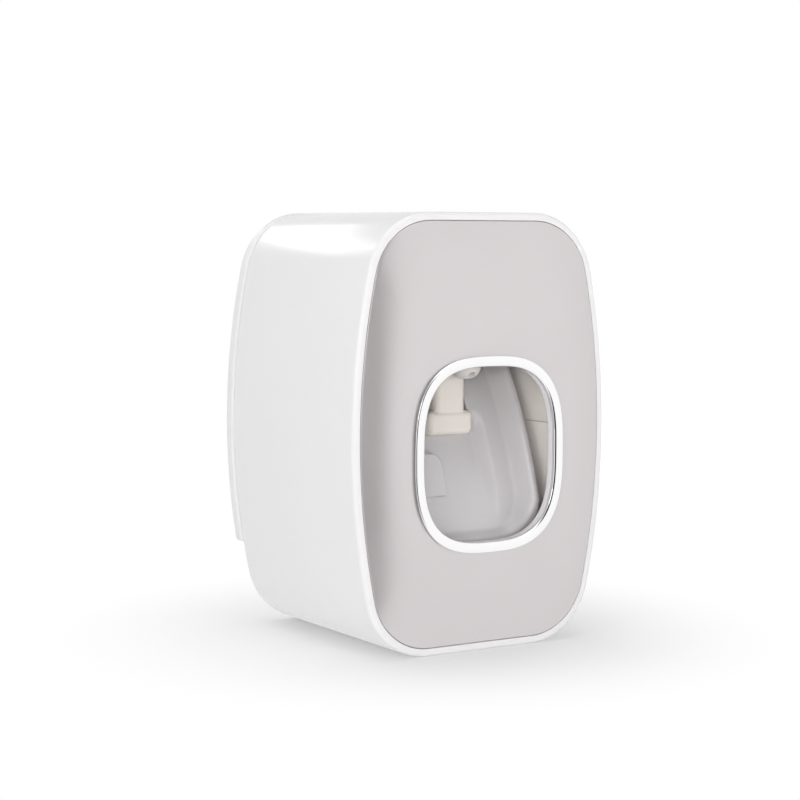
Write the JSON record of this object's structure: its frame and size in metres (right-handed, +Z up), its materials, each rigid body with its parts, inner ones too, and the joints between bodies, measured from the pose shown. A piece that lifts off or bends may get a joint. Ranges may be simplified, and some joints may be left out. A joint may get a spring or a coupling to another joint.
{
  "type": "toothpaste tube squeezer",
  "caption": "White countertop or wall toothpaste dispenser with a domed front, an oval window with a bright ring, and a push lever inside that works a small pump.",
  "frame": {"origin": "middle of the footprint, on the surface that the casing stands on", "axes": "+Z up, -Y towards the front panel and its window, +X to the right seen from the front"},
  "size_m": [0.075, 0.0702, 0.109],
  "materials": {
    "shell_white": "glossy white",
    "panel_grey": "satin light grey",
    "trim_bright": "polished",
    "lever_grey": "semi-gloss light grey",
    "liner_cream": "semi-gloss cream",
    "pump_white": "natural moulded",
    "collar_grey": "satin",
    "nozzle_silicone": "soft, translucent white",
    "valve_silicone": "soft",
    "seal_dark": "matt",
    "gasket_grey": "matt",
    "steel": "bright",
    "pad_foam": "closed foam"
  },
  "bodies": {
    "housing": {"casing_sleeve": "shell_white", "front_panel": "panel_grey", "window_trim": "trim_bright", "upper_chassis": "liner_cream", "lower_chassis": "liner_cream", "pump_shroud": "liner_cream", "nozzle": "nozzle_silicone", "outlet_spout": "liner_cream", "outlet_valve": "valve_silicone", "inlet_valve": "valve_silicone", "pump_cylinder": "pump_white", "cylinder_cap": "pump_white", "return_spring": "steel", "tube_collar": "collar_grey", "tube_gasket": "gasket_grey", "hinge_pin_left": "steel", "hinge_pin_right": "steel", "pump_screw_front": "steel", "pump_screw_rear": "steel", "rear_cover": "shell_white", "rear_screw_1": "steel", "rear_screw_2": "steel", "rear_screw_3": "steel", "rear_screw_4": "steel"},
    "lever": {"push_lever": "lever_grey", "crank_pin_left": "steel", "crank_pin_right": "steel"},
    "plunger": {"piston_yoke": "pump_white", "piston": "pump_white", "piston_seal": "seal_dark"},
    "bracket": {"wall_bracket": "shell_white", "adhesive_pad": "pad_foam"}
  },
  "joints": [
    {"name": "lever_push", "type": "hinge", "parent": "housing", "child": "lever", "pos_m": [0, -0.0064, 0.0795], "axis": [1, 0, 0], "range_deg": [0, 20], "stiffness_Nm_per_rad": 0.15, "springref_deg": -20.05},
    {"name": "piston_stroke", "type": "slide", "parent": "housing", "child": "plunger", "axis": [0, -1, 0], "range_m": [0, 0.00418], "deforming": ["return_spring"]},
    {"name": "bracket_slide", "type": "slide", "parent": "housing", "child": "bracket", "axis": [0, 0, -1], "range_m": [0, 0.006]}
  ],
  "couplings": [
    {"joint": "piston_stroke", "follows": "lever_push", "m_per_rad": 0.011939}
  ]
}
